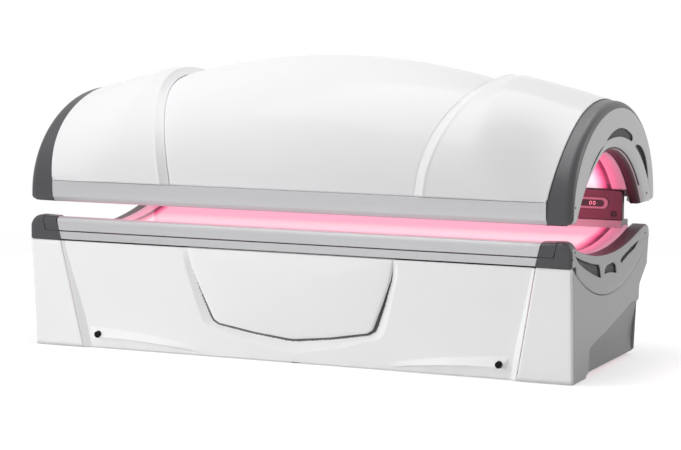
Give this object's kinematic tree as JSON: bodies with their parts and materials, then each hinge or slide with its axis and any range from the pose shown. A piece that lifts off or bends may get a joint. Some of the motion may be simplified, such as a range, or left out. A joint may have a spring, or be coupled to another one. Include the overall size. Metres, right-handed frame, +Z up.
{
  "type": "clamshell tanning bed",
  "caption": "Clamshell tanning bed: an arched canopy with lamps hinged over a bench with a hollow lit acrylic top, white shells and grey end caps.",
  "frame": {"origin": "on the floor, under the middle of the bounding box", "axes": "+X along the bed towards the display end, -Y out of the open front, +Z up"},
  "size_m": [2.242, 1.1, 1.164],
  "materials": {
    "gloss_white": "gloss white moulded plastic",
    "panel_white": "white satin coated sheet",
    "anthracite": "satin anthracite plastic",
    "end_grey": "satin silver grey plastic",
    "rail_aluminium": "anodised, brushed lengthwise",
    "vent_black": "black plastic",
    "clear_acrylic": "clear acrylic lit pink",
    "lamp_glass": "glowing fluorescent tube",
    "holder_white": "white plastic",
    "reflector": "bright sheet",
    "frame_steel": "powder coated steel tube",
    "zinc_sheet": "light grey coated sheet",
    "steel": "bright steel",
    "spring_black": "black paint",
    "foot_rubber": "black rubber",
    "fan_black": "black plastic",
    "button_white": "soft white plastic",
    "display_blue": "dark tinted window"
  },
  "bodies": {
    "bench": {"aux_socket": "vent_black", "ballasts": "spring_black", "base_frame": "frame_steel", "base_tray": "zinc_sheet", "bench_acrylic": "clear_acrylic", "bench_end_cap_left": "anthracite", "bench_end_cap_right": "anthracite", "bench_end_panel_left": "end_grey", "bench_end_panel_right": "end_grey", "bench_end_screws": "steel", "bench_fan_housings": "fan_black", "bench_lamp_holders": "holder_white", "bench_lamps": "lamp_glass", "bench_reflector": "reflector", "bench_top_profile": "rail_aluminium", "bench_vent_plates": "vent_black", "console_bezel": "rail_aluminium", "console_housing": "gloss_white", "corner_cap_left": "anthracite", "corner_cap_right": "anthracite", "corner_inserts": "anthracite", "corner_post_left": "panel_white", "corner_post_right": "panel_white", "display_window": "display_blue", "front_strip": "rail_aluminium", "gas_spring_cylinders": "spring_black", "hinge_brackets": "frame_steel", "hinge_pins": "steel", "levelling_feet": "foot_rubber", "mains_gland": "vent_black", "power_box": "zinc_sheet", "rear_deck": "gloss_white", "rear_panel": "zinc_sheet"},
    "canopy": {"canopy_acrylic": "clear_acrylic", "canopy_cap_left": "anthracite", "canopy_cap_right": "anthracite", "canopy_end_screws": "steel", "canopy_fan_housing": "fan_black", "canopy_frame": "frame_steel", "canopy_front_profile": "rail_aluminium", "canopy_hinge_arms": "frame_steel", "canopy_lamp_holders": "holder_white", "canopy_lamps": "lamp_glass", "canopy_reflector": "reflector", "canopy_shell_center": "gloss_white", "canopy_vent_plates": "vent_black", "canopy_wing_left": "gloss_white", "canopy_wing_right": "gloss_white"},
    "front_panel": {"front_panel": "panel_white", "shield_panel": "panel_white"},
    "panel_lock_left": {"panel_lock_left": "steel"},
    "panel_lock_right": {"panel_lock_right": "steel"},
    "button_1": {"console_button_1": "button_white"},
    "button_2": {"console_button_2": "button_white"},
    "button_3": {"console_button_3": "button_white"},
    "bench_fan_left": {"bench_fan_rotor_left": "fan_black"},
    "bench_fan_right": {"bench_fan_rotor_right": "fan_black"},
    "canopy_fan": {"canopy_fan_rotor": "fan_black"},
    "spring_rod_left": {"gas_spring_rod_left": "steel"},
    "spring_rod_right": {"gas_spring_rod_right": "steel"}
  },
  "joints": [
    {"name": "canopy_hinge", "type": "hinge", "parent": "bench", "child": "canopy", "pos_m": [0, 0.46, 0.6], "axis": [-1, 0, 0], "range_deg": [0, 40]},
    {"name": "gas_spring_left", "type": "slide", "parent": "bench", "child": "spring_rod_left", "axis": [0, 0, 1], "range_m": [0, 0.0425]},
    {"name": "gas_spring_right", "type": "slide", "parent": "bench", "child": "spring_rod_right", "axis": [0, 0, 1], "range_m": [0, 0.0425]},
    {"name": "front_panel_swing", "type": "hinge", "parent": "bench", "child": "front_panel", "pos_m": [0, -0.52834, 0.42148], "axis": [-1, 0, 0], "range_deg": [0, 25]},
    {"name": "panel_lock_turn_left", "type": "hinge", "parent": "front_panel", "child": "panel_lock_left", "pos_m": [-0.84, -0.50415, 0.05654], "axis": [0, 0.9959, 0.0907], "range_deg": [0, 90]},
    {"name": "panel_lock_turn_right", "type": "hinge", "parent": "front_panel", "child": "panel_lock_right", "pos_m": [0.84, -0.50415, 0.05654], "axis": [0, 0.9959, 0.0907], "range_deg": [0, 90]},
    {"name": "button_press_1", "type": "slide", "parent": "bench", "child": "button_1", "axis": [0, 1, 0], "range_m": [0, 0.0015], "stiffness_N_per_m": 300},
    {"name": "button_press_2", "type": "slide", "parent": "bench", "child": "button_2", "axis": [0, 1, 0], "range_m": [0, 0.0015], "stiffness_N_per_m": 300},
    {"name": "button_press_3", "type": "slide", "parent": "bench", "child": "button_3", "axis": [0, 1, 0], "range_m": [0, 0.0015], "stiffness_N_per_m": 300},
    {"name": "bench_fan_spin_left", "type": "hinge", "parent": "bench", "child": "bench_fan_left", "pos_m": [-0.56, -0.09, 0.082], "axis": [0, 0, 1], "continuous": true},
    {"name": "bench_fan_spin_right", "type": "hinge", "parent": "bench", "child": "bench_fan_right", "pos_m": [0.56, -0.09, 0.082], "axis": [0, 0, 1], "continuous": true},
    {"name": "canopy_fan_spin", "type": "hinge", "parent": "canopy", "child": "canopy_fan", "pos_m": [0, -0.045, 0.9268], "axis": [0, 0, 1], "continuous": true}
  ],
  "couplings": [
    {"joint": "gas_spring_left", "follows": "canopy_hinge", "m_per_rad": 0.06075},
    {"joint": "gas_spring_right", "follows": "canopy_hinge", "m_per_rad": 0.06075}
  ]
}
